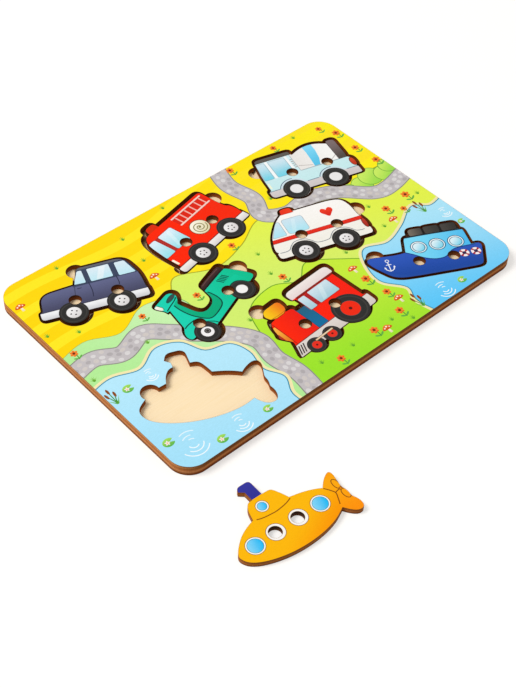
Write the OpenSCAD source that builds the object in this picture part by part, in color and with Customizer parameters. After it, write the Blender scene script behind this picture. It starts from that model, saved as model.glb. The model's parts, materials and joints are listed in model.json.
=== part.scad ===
// Wooden inset puzzle: a tray of two thin boards and eight vehicle pieces.
// Lengths are in millimetres. The origin is the middle of the tray's underside, +X runs
// along the tray's long side, +Y to its back edge and +Z up.
// Seven pieces lie in their recesses. The submarine lies on the table in front of the tray.

/* [Tray] */
// Length of the tray along X
tray_length = 300; // [255:5:340]
// Width of the tray along Y
tray_width = 200; // [170:5:240]
// Radius of the tray's four corners
tray_corner_r = 15; // [5:1:25]
// Thickness of the base board, the floor of every recess
base_thickness = 4; // [3:0.5:8]
// Thickness of the frame board, which the recesses go through
frame_thickness = 4; // [3:0.5:8]

/* [Fit of the pieces] */
// Thickness of every piece
piece_thickness = 4; // [3:0.5:8]
// Space all round a piece that lies in the middle of its recess
recess_clearance = 2; // [1:0.1:2.2]
// Space left where a piece leans towards one side of its recess
least_gap = 0.3; // [0.2:0.05:0.5]
// Diameter of the two round holes through every piece
hole_d = 8.5; // [6:0.5:9.5]
// Diameter of the finger notch beside every piece
notch_d = 13; // [10:0.5:15]

/* [Wheels] */
// Diameter of the car's, the fire engine's, the mixer truck's and the ambulance's wheels
road_wheel_d = 20; // [16:0.5:21]
// Diameter of the scooter's wheels
scooter_wheel_d = 18; // [15:0.5:20]
// Diameter of the locomotive's large rear wheel
drive_wheel_d = 27; // [22:0.5:28]
// Diameter of the locomotive's small front wheels
lead_wheel_d = 13.5; // [11:0.5:14]

/* [Car] */
// Length of the car
car_length = 75; // [65:1:80]
// Height of the car
car_height = 50; // [45:1:54]

/* [Fire engine] */
// Length of the fire engine
fire_engine_length = 75; // [65:1:80]
// Height of the fire engine
fire_engine_height = 57; // [50:1:60]

/* [Mixer truck] */
// Length of the mixer truck
mixer_truck_length = 75; // [65:1:78]
// Height of the mixer truck
mixer_truck_height = 51; // [45:1:55]

/* [Ambulance] */
// Length of the ambulance
ambulance_length = 73; // [65:1:78]
// Height of the ambulance
ambulance_height = 55; // [50:1:58]

/* [Scooter] */
// Length of the scooter
scooter_length = 75; // [65:1:78]
// Height of the scooter
scooter_height = 51; // [45:1:54]

/* [Locomotive] */
// Length of the locomotive
locomotive_length = 75; // [65:1:80]
// Height of the locomotive
locomotive_height = 53.5; // [48:0.5:56]

/* [Ship] */
// Length of the ship
ship_length = 85; // [75:1:90]
// Height of the ship
ship_height = 47; // [42:1:50]

/* [Submarine] */
// Length of the submarine
submarine_length = 82; // [72:1:86]
// Height of the submarine with its periscope
submarine_height = 57; // [50:1:60]

/* [Hidden] */
$fn = 64;

// Longest chord that a bend of an outline is drawn with
bend_chord = 1.2;
// How far a cut runs past the face that it opens
cut_overrun = 1;
// How far a piece can move from the middle of its recess
lean_play = recess_clearance - least_gap;
// Largest part of one side of an outline that the bend at its end takes up
bend_side_share = 0.48;
// The tray that the pieces' lengths, heights and wheels are given for. On a tray of another
// size they follow the side that leaves them the least room.
drawn_tray_length = 300;
drawn_tray_width = 200;
piece_scale = min(tray_length / drawn_tray_length, tray_width / drawn_tray_width);

car_size = piece_scale * [car_length, car_height];
fire_engine_size = piece_scale * [fire_engine_length, fire_engine_height];
mixer_truck_size = piece_scale * [mixer_truck_length, mixer_truck_height];
ambulance_size = piece_scale * [ambulance_length, ambulance_height];
scooter_size = piece_scale * [scooter_length, scooter_height];
locomotive_size = piece_scale * [locomotive_length, locomotive_height];
ship_size = piece_scale * [ship_length, ship_height];
submarine_size = piece_scale * [submarine_length, submarine_height];

// Middle of each recess from the middle of the tray, in shares of its length and width,
// and how far its piece is tilted, anticlockwise
car_place_share = [-0.332, 0.297];
car_tilt = -20;
fire_engine_place_share = [-0.032, 0.314];
fire_engine_tilt = 13;
mixer_truck_place_share = [0.33, 0.301];
mixer_truck_tilt = -15;
ambulance_place_share = [0.197, 0.04];
ambulance_tilt = -17;
scooter_place_share = [-0.147, 0.03];
scooter_tilt = 19;
locomotive_place_share = [0.011, -0.25];
locomotive_tilt = 4;
ship_place_share = [0.335, -0.279];
ship_tilt = -26.5;
submarine_place_share = [-0.322, -0.245];
submarine_tilt = -21;
// Where the submarine lies on the table, in shares of the tray's length and width
table_place_share = [-0.404, -0.767];
table_tilt = -2.6;

// How each piece leans in its recess, along its own length and height, in shares of the play
car_lean_share = [-0.45, 0.5];
fire_engine_lean_share = [0.74, -0.66];
mixer_truck_lean_share = [-0.2, -0.35];
ambulance_lean_share = [-0.07, 0.7];
scooter_lean_share = [-0.85, -0.2];
locomotive_lean_share = [-0.38, -0.9];
ship_lean_share = [0, 0.1];

// Middles of the two holes in each piece, in shares of its length and height
car_hole_shares = [[0.344, 0.42], [0.736, 0.418]];
fire_engine_hole_shares = [[0.33, 0.46], [0.73, 0.453]];
mixer_truck_hole_shares = [[0.348, 0.549], [0.738, 0.549]];
ambulance_hole_shares = [[0.332, 0.47], [0.718, 0.476]];
scooter_hole_shares = [[0.214, 0.346], [0.694, 0.336]];
locomotive_hole_shares = [[0.321, 0.463], [0.699, 0.447]];
ship_hole_shares = [[0.429, 0.298], [0.729, 0.296]];
submarine_hole_shares = [[0.336, 0.324], [0.543, 0.324]];

// Middle of each finger notch, in shares of its piece's length and height
car_notch_share = [0.437, 0.96];
fire_engine_notch_share = [0.989, 0.666];
mixer_truck_notch_share = [0.022, 0.733];
ambulance_notch_share = [0.987, 0.661];
scooter_notch_share = [0.978, 0.44];
locomotive_notch_share = [0.118, 0.978];
ship_notch_share = [0.09, 0.516];
submarine_notch_share = [0.113, 0.54];

// Middles of the wheels along each piece, in shares of its length
car_wheel_shares = [0.29, 0.73];
fire_engine_wheel_shares = [0.312, 0.747];
mixer_truck_wheel_shares = [0.276, 0.703];
ambulance_wheel_shares = [0.28, 0.708];
scooter_wheel_shares = [0.164, 0.773];
locomotive_lead_wheel_shares = [0.21, 0.405];
locomotive_drive_wheel_shares = [0.75];

// Outlines, anticlockwise from the lower left corner. Each row is a corner: its share of the
// piece's length, its share of the height, and its bend's reach as a share of the height.
car_outline_shares = [
    [0, 0.18, 0.06], [1, 0.17, 0.06], [1, 0.33, 0.02], [0.99, 0.36, 0.02], [0.99, 0.55, 0.1],
    [0.972, 0.72, 0.1], [0.9, 1, 0.14], [0.46, 1, 0.06], [0.385, 0.69, 0], [0.06, 0.645, 0.16],
    [0.032, 0.345, 0], [0.004, 0.335, 0.03]
];
fire_engine_outline_shares = [
    [0, 0.13, 0.06], [1, 0.13, 0.03], [1, 0.245, 0], [0.99, 0.25, 0], [1, 0.34, 0.05],
    [0.995, 0.44, 0.05], [0.965, 0.48, 0.03], [0.958, 0.62, 0.06], [0.968, 0.907, 0.07],
    [0.346, 0.907, 0], [0.342, 1, 0.05], [0.222, 1, 0.06], [0.204, 0.905, 0],
    [0.14, 0.893, 0.06], [0.085, 0.8, 0.09], [0.045, 0.56, 0.12], [0.039, 0.25, 0],
    [0.003, 0.24, 0.04]
];
mixer_truck_outline_shares = [
    [0, 0.142, 0.07], [0.99, 0.135, 0.04], [0.99, 0.27, 0], [0.978, 0.29, 0], [1, 0.335, 0.05],
    [1, 0.46, 0.06], [0.978, 0.505, 0.03], [0.955, 0.53, 0], [0.962, 0.6, 0.02],
    [0.962, 0.98, 0.07], [0.868, 0.98, 0.05], [0.863, 0.925, 0], [0.76, 0.995, 0.2],
    [0.66, 1.01, 0.2], [0.56, 0.975, 0.2], [0.467, 0.905, 0], [0.456, 0.93, 0],
    [0.456, 1, 0.06], [0.075, 1, 0.08], [0.06, 0.91, 0.02], [0.035, 0.62, 0.1],
    [0.028, 0.305, 0], [0, 0.29, 0.06]
];
ambulance_outline_shares = [
    [0, 0.14, 0.06], [0.995, 0.14, 0.06], [1, 0.25, 0.02], [0.988, 0.27, 0], [1, 0.31, 0.03],
    [1, 0.4, 0.05], [0.984, 0.48, 0.03], [0.968, 0.54, 0.03], [0.958, 0.75, 0.16],
    [0.91, 0.89, 0.12], [0.79, 0.925, 0.12], [0.397, 0.922, 0], [0.392, 1, 0.06],
    [0.275, 1, 0.06], [0.265, 0.912, 0], [0.18, 0.815, 0.12], [0.095, 0.66, 0.12],
    [0.04, 0.53, 0.1], [0.012, 0.41, 0.06], [0, 0.34, 0.05], [0, 0.28, 0.02],
    [0.014, 0.262, 0], [0, 0.245, 0.02]
];
scooter_outline_shares = [
    [0.007, 0.265, 0.03], [0.055, 0.255, 0], [0.164, 0.18, 0], [0.27, 0.135, 0],
    [0.66, 0.168, 0], [0.773, 0.18, 0], [0.86, 0.165, 0], [0.965, 0.172, 0.03],
    [1, 0.21, 0.03], [0.985, 0.33, 0.08], [0.955, 0.47, 0.1], [0.928, 0.575, 0.03],
    [0.912, 0.6, 0], [0.909, 0.7, 0.06], [0.598, 0.69, 0.07], [0.578, 0.6, 0],
    [0.515, 0.385, 0.16], [0.32, 0.385, 0.17], [0.318, 0.775, 0.02], [0.352, 0.8, 0.03],
    [0.397, 0.86, 0.04], [0.41, 0.93, 0.05], [0.375, 1, 0.06], [0.16, 1, 0.04],
    [0.152, 0.955, 0.04], [0.176, 0.835, 0.02], [0.172, 0.795, 0], [0.202, 0.785, 0],
    [0.104, 0.51, 0.03], [0.092, 0.472, 0.03], [0.035, 0.42, 0.09], [0, 0.34, 0.06]
];
locomotive_outline_shares = [
    [0.003, 0.1, 0.02], [0.995, 0.1, 0.06], [1, 0.3, 0.04], [0.962, 0.31, 0], [0.962, 0.83, 0],
    [0.988, 0.86, 0.03], [0.988, 1, 0.1], [0.44, 1, 0.11], [0.44, 0.84, 0.07],
    [0.476, 0.83, 0], [0.478, 0.688, 0], [0.382, 0.688, 0], [0.374, 0.765, 0.04],
    [0.31, 0.775, 0], [0.345, 0.84, 0.06], [0.345, 0.98, 0.07], [0.155, 0.975, 0.07],
    [0.113, 0.89, 0.06], [0.128, 0.81, 0.05], [0.165, 0.77, 0], [0.1, 0.765, 0.05],
    [0.06, 0.65, 0.05], [0.045, 0.56, 0], [0.02, 0.5, 0.04], [0.045, 0.44, 0],
    [0.082, 0.35, 0.02], [0.06, 0.27, 0.02]
];
ship_outline_shares = [
    [0.094, 0.19, 0.15], [0.155, 0.065, 0.12], [0.225, 0.012, 0.1], [0.35, 0, 0.1],
    [0.755, 0, 0.1], [0.9, 0.005, 0.08], [0.938, 0.04, 0.07], [1, 0.415, 0.05],
    [0.985, 0.475, 0.04], [0.916, 0.47, 0], [0.912, 0.815, 0.09], [0.884, 0.825, 0],
    [0.874, 1, 0.07], [0.745, 1, 0.06], [0.732, 0.955, 0], [0.717, 0.995, 0.05],
    [0.596, 0.995, 0.06], [0.581, 0.955, 0], [0.568, 0.985, 0.05], [0.45, 0.985, 0.08],
    [0.44, 0.842, 0], [0.388, 0.825, 0.09], [0.348, 0.515, 0], [0.27, 0.495, 0.1],
    [0.03, 0.515, 0.06], [0, 0.44, 0.06], [0.04, 0.31, 0.12]
];
submarine_outline_shares = [
    [0, 0.28, 0.07], [0.03, 0.195, 0.1], [0.1, 0.125, 0.1], [0.2, 0.068, 0.1], [0.33, 0.024, 0.1],
    [0.475, 0.008, 0.1], [0.62, 0.02, 0.1], [0.75, 0.062, 0.1], [0.853, 0.135, 0],
    [0.89, 0.055, 0.08], [0.935, 0, 0.06], [0.985, 0.005, 0.06], [1, 0.06, 0.06],
    [0.995, 0.13, 0.06], [0.974, 0.19, 0.03], [0.983, 0.27, 0.05], [0.968, 0.345, 0.03],
    [0.98, 0.43, 0.05], [0.994, 0.52, 0.05], [0.988, 0.572, 0.04], [0.96, 0.572, 0.04],
    [0.905, 0.525, 0.08], [0.852, 0.45, 0], [0.79, 0.5, 0.1], [0.71, 0.543, 0.1],
    [0.608, 0.577, 0], [0.592, 0.645, 0.08], [0.557, 0.755, 0.05], [0.535, 0.778, 0.03],
    [0.471, 0.78, 0], [0.471, 1, 0.05], [0.36, 1, 0.04], [0.342, 0.946, 0], [0.38, 0.9, 0],
    [0.38, 0.78, 0], [0.335, 0.775, 0.04], [0.297, 0.7, 0.08], [0.275, 0.577, 0],
    [0.19, 0.54, 0.1], [0.115, 0.485, 0.1], [0.045, 0.4, 0.1], [0.005, 0.335, 0.06]
];

// The point on the way from one corner to the next at a given reach
function toward(from, to, reach) =
    from + (to - from) * min(reach / norm(to - from), bend_side_share);

// A bend that starts and ends at a given reach from its corner, as a quadratic curve
function bend(before, corner, after, reach) =
    let (
        first = toward(corner, before, reach),
        last = toward(corner, after, reach),
        steps = max(2, ceil(norm(last - first) / bend_chord))
    )
    reach == 0 ? [corner] :
    [for (i = [0 : steps])
        let (s = i / steps)
        first * pow(1 - s, 2) + corner * 2 * s * (1 - s) + last * pow(s, 2)];

// All points of a closed outline of a given size
function outline_points(size, shares) =
    let (
        n = len(shares),
        corners = [for (s = shares) [size.x * s.x, size.y * s.y]]
    )
    [for (i = [0 : n - 1])
        each bend(corners[(i + n - 1) % n], corners[i], corners[(i + 1) % n],
                  size.y * shares[i].z)];

// A row of round wheels that stand on a piece's lower edge
module wheels(size, shares, diameter) {
    for (share = shares)
        translate([size.x * share, piece_scale * diameter / 2])
            circle(d = piece_scale * diameter);
}

module car_outline() {
    polygon(outline_points(car_size, car_outline_shares));
    wheels(car_size, car_wheel_shares, road_wheel_d);
}

module fire_engine_outline() {
    polygon(outline_points(fire_engine_size, fire_engine_outline_shares));
    wheels(fire_engine_size, fire_engine_wheel_shares, road_wheel_d);
}

module mixer_truck_outline() {
    polygon(outline_points(mixer_truck_size, mixer_truck_outline_shares));
    wheels(mixer_truck_size, mixer_truck_wheel_shares, road_wheel_d);
}

module ambulance_outline() {
    polygon(outline_points(ambulance_size, ambulance_outline_shares));
    wheels(ambulance_size, ambulance_wheel_shares, road_wheel_d);
}

module scooter_outline() {
    polygon(outline_points(scooter_size, scooter_outline_shares));
    wheels(scooter_size, scooter_wheel_shares, scooter_wheel_d);
}

module locomotive_outline() {
    polygon(outline_points(locomotive_size, locomotive_outline_shares));
    wheels(locomotive_size, locomotive_lead_wheel_shares, lead_wheel_d);
    wheels(locomotive_size, locomotive_drive_wheel_shares, drive_wheel_d);
}

module ship_outline() {
    polygon(outline_points(ship_size, ship_outline_shares));
}

module submarine_outline() {
    polygon(outline_points(submarine_size, submarine_outline_shares));
}

// Carries a piece or its recess from its own lower left corner to its place on the tray
module placed(size, place_share, tilt, lean_share = [0, 0]) {
    translate([tray_length * place_share.x, tray_width * place_share.y])
        rotate(tilt)
            translate(lean_play * lean_share - size / 2)
                children();
}

// A recess: the piece's outline with its clearance, and the finger notch beside it
module recess(size, notch_share) {
    offset(delta = recess_clearance)
        children();
    translate([size.x * notch_share.x, size.y * notch_share.y])
        circle(d = notch_d);
}

// A piece of full thickness with its two round holes
module piece(size, hole_shares) {
    difference() {
        linear_extrude(piece_thickness)
            children();
        for (share = hole_shares)
            translate([size.x * share.x, size.y * share.y, -cut_overrun])
                cylinder(d = hole_d, h = piece_thickness + 2 * cut_overrun);
    }
}

// The outline that both boards share, with round corners
module board_outline() {
    square([tray_length - 2 * tray_corner_r, tray_width], center = true);
    square([tray_length, tray_width - 2 * tray_corner_r], center = true);
    for (x = [-1, 1], y = [-1, 1])
        translate([x * (tray_length / 2 - tray_corner_r), y * (tray_width / 2 - tray_corner_r)])
            circle(r = tray_corner_r);
}

module base_board() {
    color("burlywood")
        linear_extrude(base_thickness)
            board_outline();
}

module frame_board() {
    color("gold")
        translate([0, 0, base_thickness])
            linear_extrude(frame_thickness)
                difference() {
                    board_outline();
                    recesses();
                }
}

module recesses() {
    placed(car_size, car_place_share, car_tilt)
        recess(car_size, car_notch_share)
            car_outline();
    placed(fire_engine_size, fire_engine_place_share, fire_engine_tilt)
        recess(fire_engine_size, fire_engine_notch_share)
            fire_engine_outline();
    placed(mixer_truck_size, mixer_truck_place_share, mixer_truck_tilt)
        recess(mixer_truck_size, mixer_truck_notch_share)
            mixer_truck_outline();
    placed(ambulance_size, ambulance_place_share, ambulance_tilt)
        recess(ambulance_size, ambulance_notch_share)
            ambulance_outline();
    placed(scooter_size, scooter_place_share, scooter_tilt)
        recess(scooter_size, scooter_notch_share)
            scooter_outline();
    placed(locomotive_size, locomotive_place_share, locomotive_tilt)
        recess(locomotive_size, locomotive_notch_share)
            locomotive_outline();
    placed(ship_size, ship_place_share, ship_tilt)
        recess(ship_size, ship_notch_share)
            ship_outline();
    placed(submarine_size, submarine_place_share, submarine_tilt)
        recess(submarine_size, submarine_notch_share)
            submarine_outline();
}

module car() {
    color("darkslateblue")
        translate([0, 0, base_thickness])
            placed(car_size, car_place_share, car_tilt, car_lean_share)
                piece(car_size, car_hole_shares)
                    car_outline();
}

module fire_engine() {
    color("red")
        translate([0, 0, base_thickness])
            placed(fire_engine_size, fire_engine_place_share, fire_engine_tilt,
                   fire_engine_lean_share)
                piece(fire_engine_size, fire_engine_hole_shares)
                    fire_engine_outline();
}

module mixer_truck() {
    color("lightblue")
        translate([0, 0, base_thickness])
            placed(mixer_truck_size, mixer_truck_place_share, mixer_truck_tilt,
                   mixer_truck_lean_share)
                piece(mixer_truck_size, mixer_truck_hole_shares)
                    mixer_truck_outline();
}

module ambulance() {
    color("white")
        translate([0, 0, base_thickness])
            placed(ambulance_size, ambulance_place_share, ambulance_tilt, ambulance_lean_share)
                piece(ambulance_size, ambulance_hole_shares)
                    ambulance_outline();
}

module scooter() {
    color("mediumturquoise")
        translate([0, 0, base_thickness])
            placed(scooter_size, scooter_place_share, scooter_tilt, scooter_lean_share)
                piece(scooter_size, scooter_hole_shares)
                    scooter_outline();
}

module locomotive() {
    color("orangered")
        translate([0, 0, base_thickness])
            placed(locomotive_size, locomotive_place_share, locomotive_tilt,
                   locomotive_lean_share)
                piece(locomotive_size, locomotive_hole_shares)
                    locomotive_outline();
}

module ship() {
    color("royalblue")
        translate([0, 0, base_thickness])
            placed(ship_size, ship_place_share, ship_tilt, ship_lean_share)
                piece(ship_size, ship_hole_shares)
                    ship_outline();
}

module submarine() {
    color("orange")
        placed(submarine_size, table_place_share, table_tilt)
            piece(submarine_size, submarine_hole_shares)
                submarine_outline();
}

base_board();
frame_board();
car();
fire_engine();
mixer_truck();
ambulance();
scooter();
locomotive();
ship();
submarine();
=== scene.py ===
import json
import math

import bpy
import numpy as np
from mathutils import Matrix, Vector
from mathutils.geometry import delaunay_2d_cdt


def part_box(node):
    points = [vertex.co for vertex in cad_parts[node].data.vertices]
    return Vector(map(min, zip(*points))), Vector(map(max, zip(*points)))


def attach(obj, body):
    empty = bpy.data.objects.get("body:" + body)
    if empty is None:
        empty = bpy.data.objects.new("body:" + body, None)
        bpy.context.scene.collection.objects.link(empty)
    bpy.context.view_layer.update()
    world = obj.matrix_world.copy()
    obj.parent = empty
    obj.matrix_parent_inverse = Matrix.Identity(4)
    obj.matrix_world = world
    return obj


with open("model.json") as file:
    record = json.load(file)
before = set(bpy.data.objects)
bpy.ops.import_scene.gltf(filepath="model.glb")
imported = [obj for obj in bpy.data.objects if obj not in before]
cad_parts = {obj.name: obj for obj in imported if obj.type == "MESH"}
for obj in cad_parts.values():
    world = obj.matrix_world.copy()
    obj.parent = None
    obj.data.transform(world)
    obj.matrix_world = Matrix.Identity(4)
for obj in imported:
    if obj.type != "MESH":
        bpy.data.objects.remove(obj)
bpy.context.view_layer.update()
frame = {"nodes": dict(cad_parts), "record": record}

MM = 0.001

# ---------------------------------------------------------------- colours and nodes


def linear(code):
    """sRGB hex to linear light: each channel c is ((c + 0.055) / 1.055) ** 2.4, or c / 12.92
    in the toe of the curve."""
    c = np.array([int(code[i : i + 2], 16) for i in (1, 3, 5)]) / 255
    return np.where(c > 0.04045, ((c + 0.055) / 1.055) ** 2.4, c / 12.92)


def rgba(code):
    return (*linear(code), 1.0)


def add(tree, kind, links=None, stops=(), **settings):
    """Adds a node. settings are its properties, or its inputs by name with _ for a blank.
    links are inputs by name or number; each takes an output, a node's first output in use, a
    hex colour or a plain value. A Mix node's colours are its inputs 6 and 7. stops are the
    places and colours of a ramp."""
    node = tree.nodes.new("ShaderNode" + kind)
    for name, value in settings.items():
        if hasattr(node, name):
            setattr(node, name, value)
        else:
            node.inputs[name.replace("_", " ")].default_value = value
    for name, value in (links or {}).items():
        if isinstance(value, bpy.types.Node):
            value = next(output for output in value.outputs if output.enabled)
        if isinstance(value, bpy.types.NodeSocket):
            tree.links.new(value, node.inputs[name])
        else:
            node.inputs[name].default_value = rgba(value) if isinstance(value, str) else value
    if stops:
        elements = node.color_ramp.elements
        while len(elements) < len(stops):
            elements.new(0.5)
        for element, (place, code) in zip(elements, stops):
            element.position, element.color = place, rgba(code)
    return node


def material(name):
    """An empty node material and its tree."""
    made = bpy.data.materials.new(name)
    made.use_nodes = True
    made.node_tree.nodes.clear()
    return made, made.node_tree


def placed(name, data, matrix=Matrix()):
    """Puts an object with this data into the scene."""
    made = bpy.data.objects.new(name, data)
    made.matrix_world = matrix
    bpy.context.scene.collection.objects.link(made)
    return made


# ---------------------------------------------------------------- the materials

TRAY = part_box("base_board")[1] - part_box("base_board")[0]
BOARD = TRAY.z            # thickness of one board
CORNER = 15 * MM          # radius of the tray's corners
RIM_DEPTH = 1 * MM        # a cut nearer than this to the tray's outline is its rim
HOLE_REACH = 6 * MM       # a cut nearer than this to a hole's middle is its wall
PLY_WAVE = 0.25 * MM      # how far the plies wander
SHEEN = 0.06              # specular level of the dry wood and of the thin varnish

# The tray's rim, from the lower board's underside to the upper board's top: char, birch ply,
# paler core ply about the glued seam, darker ply, and char where the beam came in.
LONG_RIM = ((0.00, "#4A200A"), (0.10, "#8E4016"), (0.22, "#A4521E"), (0.34, "#D27E40"),
            (0.42, "#EE9C5A"), (0.49, "#F0A05E"), (0.505, "#C47638"), (0.52, "#E89656"),
            (0.58, "#CC7E42"), (0.66, "#A8622E"), (0.76, "#8A5022"), (0.85, "#965E2C"),
            (0.94, "#8A5426"), (1.00, "#2E1408"))
# The short sides: the same plies, with the upper board painted lighter as the light falling on
# them.
SHORT_RIM_PAINTED_LIGHT = ((0.00, "#5A2C10"), (0.06, "#8F5120"), (0.14, "#985A28"), (0.26, "#BE7844"),
             (0.37, "#EFA165"), (0.46, "#F09F60"), (0.50, "#B8682E"), (0.53, "#DE8A4B"),
             (0.64, "#C97A44"), (0.72, "#C6783F"), (0.84, "#EEA563"), (0.95, "#DC9054"),
             (1.00, "#6A3818"))
# Cuts through one board, from its underside up: the recesses' walls and the sides of the seven
# seated pieces, both with painted shade that makes them darker than the loose piece's side, the
# side of the loose piece, and the walls of that piece's holes.
WALL_BANDS_PAINTED_SHADE = ((0.00, "#8E4E20"), (0.12, "#A65E26"), (0.40, "#964E1A"), (0.62, "#844218"),
              (0.82, "#723814"), (0.94, "#5C2C10"), (1.00, "#3C1C0A"))
SIDE_BANDS_PAINTED_SHADE = ((0.00, "#6A3A1A"), (0.15, "#84481E"), (0.40, "#743C18"), (0.65, "#643214"),
              (0.88, "#482410"), (1.00, "#24120A"))
LOOSE_BANDS = ((0.00, "#4A2410"), (0.10, "#9C5626"), (0.30, "#B06630"), (0.46, "#D8884A"),
               (0.60, "#B46A30"), (0.84, "#BC7036"), (0.92, "#8A4E22"), (1.00, "#3A1E0C"))
HOLE_BANDS = ((0.00, "#8A5A38"), (0.30, "#6A3E22"), (0.60, "#3C2010"), (1.00, "#1A0E08"))


def uneven(tree, places, cycles, detail, roughness=0.5):
    """An uneven pattern with so many cycles per metre along each axis of the object."""
    stretched = add(tree, "Mapping", {"Vector": places}, Scale=cycles)
    return add(tree, "TexNoise", {"Vector": stretched}, Scale=1.0, Detail=detail,
               Roughness=roughness)


def tinted(tree, pattern, stops, under, over):
    """Colour over laid on colour under; stops give its share, a grey, by the pattern."""
    share = add(tree, "ValToRGB", {"Fac": pattern}, stops)
    return add(tree, "Mix", {0: share, 6: under, 7: over}, data_type="RGBA")


def cut_colour(tree, height, foot, rise, bands):
    """The bands of a cut by height, from foot over rise."""
    up = add(tree, "MapRange", {"Value": height}, From_Min=foot, From_Max=foot + rise)
    return add(tree, "ValToRGB", {"Fac": up}, bands)


def outer_rim(tree, places):
    """1 on the tray's outer rim and 0 on the cuts inside it. The rim lies a corner's radius
    away from the rectangle through the middles of the round corners."""
    folded = add(tree, "VectorMath", {0: places}, operation="ABSOLUTE")
    middle = (TRAY.x / 2 - CORNER, TRAY.y / 2 - CORNER, 1.0)
    past = add(tree, "VectorMath", {0: folded, 1: middle}, operation="SUBTRACT")
    beyond = add(tree, "VectorMath", {0: past}, operation="MAXIMUM")
    away = add(tree, "VectorMath", {0: beyond}, operation="LENGTH")
    return add(tree, "Math", {0: away, 1: CORNER - RIM_DEPTH}, operation="GREATER_THAN")


def near_holes(tree, places, centres):
    """1 within HOLE_REACH of an upright axis through one of the two centres, 0 beyond it."""
    level = add(tree, "VectorMath", {0: places, 1: (1, 1, 0)}, operation="MULTIPLY")
    gaps = [add(tree, "VectorMath", {0: level, 1: (*centre, 0)}, operation="DISTANCE")
            for centre in centres]
    least = add(tree, "Math", dict(enumerate(gaps)), operation="MINIMUM")
    return add(tree, "Math", {0: least, 1: HOLE_REACH}, operation="LESS_THAN")


def surface(tree, colour, relief, strength, depth, worn, rough, ior):
    """Ends a material with its shader: relief is a bump depth metres high, and the roughness
    goes between the two values of rough by the pattern worn."""
    bump = add(tree, "Bump", {"Height": relief}, Strength=strength, Distance=depth)
    roughness = add(tree, "MapRange", {"Value": worn}, To_Min=rough[0], To_Max=rough[1])
    shader = add(tree, "BsdfPrincipled",
                 {"Base Color": colour, "Normal": bump, "Roughness": roughness},
                 IOR=ior, Specular_IOR_Level=SHEEN)
    add(tree, "OutputMaterial", {"Surface": shader})


def laser_cut_plywood(name, foot, bands, rim_sides=(), holes=()):
    """Birch plywood cut by a laser. Its faces are pale, with fine straight grain along the
    board; its cuts are burnt brown, darkest where the beam came in, with the plies' glue lines
    round the board and the fine upright marks that the beam's pulses leave. bands are the
    colours of a cut through one board from foot upwards; those of the recesses' walls and the
    seated pieces' sides hold painted shade as well as burn. rim_sides are those of the tray's
    outer rim through both boards: its long sides, and its short ones, whose upper board is
    painted lighter as the light falling on them. holes are the middles of two holes with walls
    darker than the rest."""
    made, tree = material(name)
    places = add(tree, "TexCoord").outputs["Object"]
    height = add(tree, "SeparateXYZ", {"Vector": places}).outputs["Z"]
    normal = add(tree, "NewGeometry").outputs["Normal"]
    facing = add(tree, "VectorMath", {0: normal}, operation="ABSOLUTE")
    facing = add(tree, "SeparateXYZ", {"Vector": facing}).outputs
    is_face = add(tree, "Math", {0: facing["Z"], 1: 0.5}, operation="GREATER_THAN")

    # The face: grain lines about 1.2 mm apart and 25 mm long, and broad soft figure.
    grain = uneven(tree, places, (40, 850, 40), 4.0, 0.6)
    figure = uneven(tree, places, (12, 60, 12), 2.0)
    face = tinted(tree, grain, ((0.3, "#000000"), (0.7, "#FFFFFF")), "#F9DFB2", "#FCE5BF")
    face = tinted(tree, figure, ((0.35, "#000000"), (0.75, "#505050")), face, "#F6DAAC")

    # The cut: bands by height, waved a little as the plies are, with paler patches some 10 mm
    # wide and the dark marks of the beam's pulses, 0.4 mm wide.
    wave = uneven(tree, places, (60, 60, 60), 2.0)
    wander = add(tree, "MapRange", {"Value": wave}, To_Min=-PLY_WAVE, To_Max=PLY_WAVE)
    waved = add(tree, "Math", {0: height, 1: wander}, operation="ADD")
    cut = cut_colour(tree, waved, foot, BOARD, bands)
    if rim_sides:
        sides = (cut_colour(tree, waved, 0.0, 2 * BOARD, side) for side in rim_sides)
        rim = add(tree, "Mix", dict(zip((0, 6, 7), (facing["X"], *sides))), data_type="RGBA")
        cut = add(tree, "Mix", {0: outer_rim(tree, places), 6: cut, 7: rim}, data_type="RGBA")
    if holes:
        wall = cut_colour(tree, waved, foot, BOARD, HOLE_BANDS)
        cut = add(tree, "Mix", {0: near_holes(tree, places, holes), 6: cut, 7: wall},
                  data_type="RGBA")
    pulses = uneven(tree, places, (2600, 2600, 120), 2.0)
    scorch = uneven(tree, places, (90, 90, 200), 3.0)
    lighter = add(tree, "Mix", {0: 0.45, 6: cut, 7: "#E09850"}, data_type="RGBA",
                  blend_type="SCREEN")
    cut = tinted(tree, scorch, ((0.5, "#000000"), (0.8, "#606060")), cut, lighter)
    cut = tinted(tree, pulses, ((0.35, "#707070"), (0.65, "#000000")), cut, "#3A1A08")

    colour = add(tree, "Mix", {0: is_face, 6: cut, 7: face}, data_type="RGBA")
    relief = add(tree, "Mix", {0: is_face, 6: pulses, 7: grain}, data_type="RGBA")
    surface(tree, colour, relief, 0.35, 0.12 * MM, grain, (0.52, 0.7), 1.5)
    return made


def inked_wood(name):
    """Birch whose colour comes from the attribute "ink": UV-cured ink under a satin varnish,
    straight on the face, or painted shade where the floor lies in a narrow gap. The eye sees
    flat clean colours, a very fine mottle about 1 mm wide, and the grain's shallow relief in the
    sheen, its lines 0.9 mm apart."""
    made, tree = material(name)
    places = add(tree, "TexCoord").outputs["Object"]
    ink = add(tree, "Attribute", attribute_name="ink").outputs["Color"]
    mottle = uneven(tree, places, (700, 1500, 700), 3.0)
    shade = add(tree, "ValToRGB", {"Fac": mottle}, ((0.3, "#F8F8F6"), (0.7, "#FFFFFF")))
    colour = add(tree, "Mix", {0: 1.0, 6: ink, 7: shade}, data_type="RGBA", blend_type="MULTIPLY")
    grain = uneven(tree, places, (45, 1100, 45), 3.0)
    surface(tree, colour, grain, 0.12, 0.1 * MM, mottle, (0.36, 0.46), 1.48)
    return made


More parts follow.
